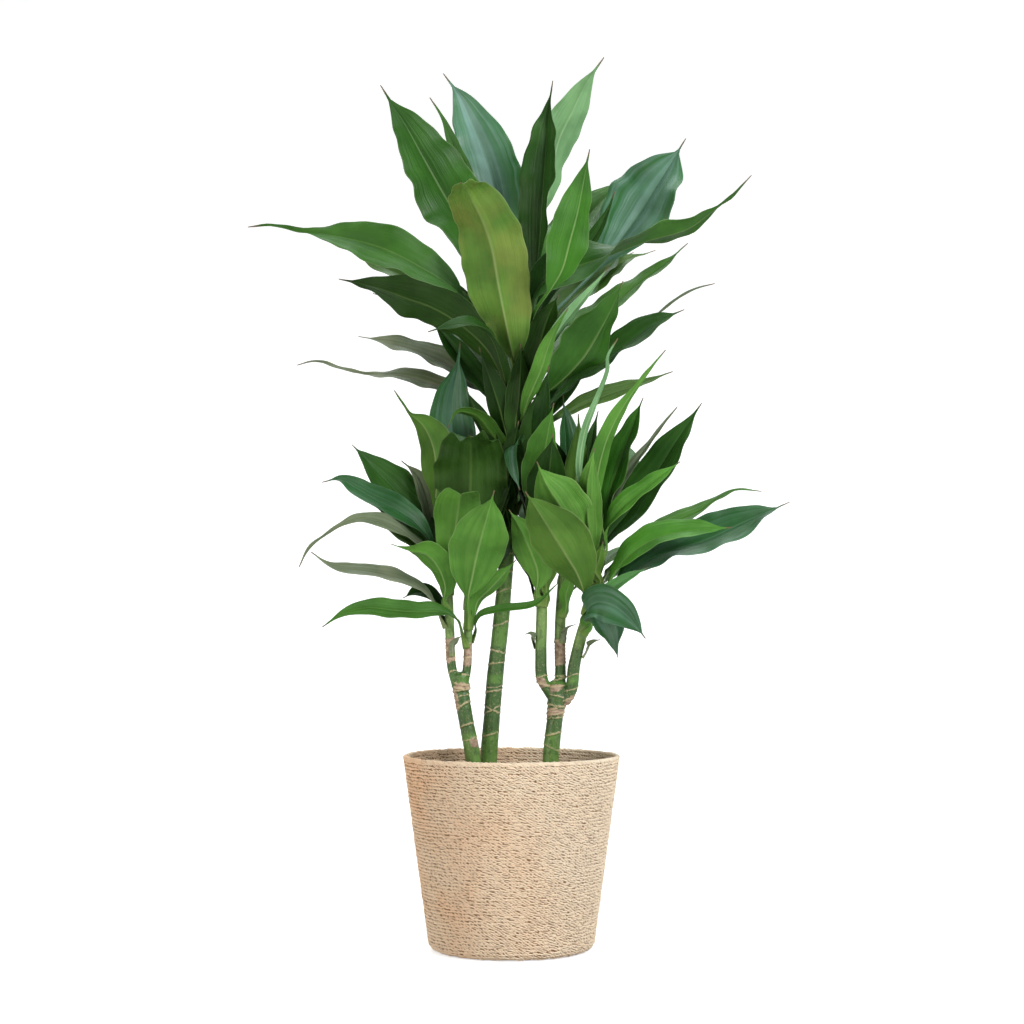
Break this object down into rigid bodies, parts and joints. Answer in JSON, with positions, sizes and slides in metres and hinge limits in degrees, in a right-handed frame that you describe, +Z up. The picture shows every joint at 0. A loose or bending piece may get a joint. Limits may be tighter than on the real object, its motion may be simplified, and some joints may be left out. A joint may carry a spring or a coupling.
{
  "type": "potted corn plant",
  "caption": "Corn plant of bare canes with side shoots and broad pointed leaves, in a plastic nursery pot of soil inside a conical woven rope basket; stands on a floor as a room plant.",
  "frame": {"origin": "centre of the basket's flat underside", "axes": "+Z up along the basket axis, -Y towards the viewer of the picture (the front), +X to the right as seen from the front"},
  "size_m": [0.5971, 0.452, 1.0001],
  "materials": {
    "rope": "matte",
    "pot_plastic": "satin",
    "soil": "matte",
    "cane": "satin",
    "leaf_deep": "satin",
    "leaf_mid": "satin",
    "leaf_olive": "satin",
    "leaf_bright": "satin",
    "leaf_mint": "satin",
    "leaf_blue": "satin",
    "leaf_dry": "matte"
  },
  "bodies": {
    "root": {"basket": "rope", "nursery_pot": "pot_plastic", "potting_soil": "soil", "left_cane": "cane", "middle_cane": "cane", "right_cane": "cane", "crown_leaf_lowest_left": "leaf_dry", "crown_leaf_grey_left": "leaf_dry", "crown_leaf_dark_left": "leaf_deep", "crown_leaf_small_left": "leaf_deep", "crown_leaf_long_left": "leaf_mid", "crown_leaf_olive_left": "leaf_olive", "crown_leaf_upper_left": "leaf_mid", "crown_leaf_blue": "leaf_blue", "crown_leaf_front": "leaf_olive", "crown_leaf_dark_upright": "leaf_deep", "crown_leaf_tallest": "leaf_mint", "crown_leaf_short_front": "leaf_bright", "crown_leaf_striped_right": "leaf_blue", "crown_leaf_twisted_right": "leaf_mid", "crown_leaf_slim_right": "leaf_mid", "crown_leaf_front_right": "leaf_mid", "crown_leaf_dark_right": "leaf_deep", "crown_leaf_lowest_right": "leaf_olive", "crown_leaf_strap_front": "leaf_bright", "crown_leaf_back_low_left": "leaf_mid", "crown_leaf_back_low": "leaf_mid", "crown_leaf_back_low_right": "leaf_mid", "crown_leaf_back_middle": "leaf_mid", "crown_leaf_back_right": "leaf_mid", "left_leaf_front": "leaf_bright", "left_leaf_blunt": "leaf_bright", "left_leaf_wavy": "leaf_deep", "left_leaf_low_front": "leaf_bright", "left_leaf_olive_high": "leaf_olive", "left_leaf_blue_high": "leaf_blue", "left_leaf_striped": "leaf_deep", "left_leaf_glossy": "leaf_blue", "left_leaf_drooping_tip": "leaf_dry", "left_leaf_thin": "leaf_dry", "left_leaf_lowest": "leaf_mid", "left_leaf_back": "leaf_mid", "left_leaf_back_low": "leaf_mid", "right_leaf_inner_left": "leaf_bright", "right_leaf_front": "leaf_olive", "right_leaf_second": "leaf_bright", "right_leaf_young": "leaf_bright", "right_leaf_dark_tall": "leaf_deep", "right_leaf_blue_tall": "leaf_blue", "right_leaf_dark_middle": "leaf_deep", "right_leaf_strap": "leaf_bright", "right_leaf_bright": "leaf_bright", "right_leaf_dark_big": "leaf_deep", "right_leaf_light_upper": "leaf_bright", "right_leaf_high_tip": "leaf_mid", "right_leaf_light_lower": "leaf_bright", "right_leaf_long_glossy": "leaf_blue", "right_leaf_drooping": "leaf_blue", "right_leaf_back": "leaf_mid", "right_leaf_back_low": "leaf_mid"}
  },
  "joints": []
}
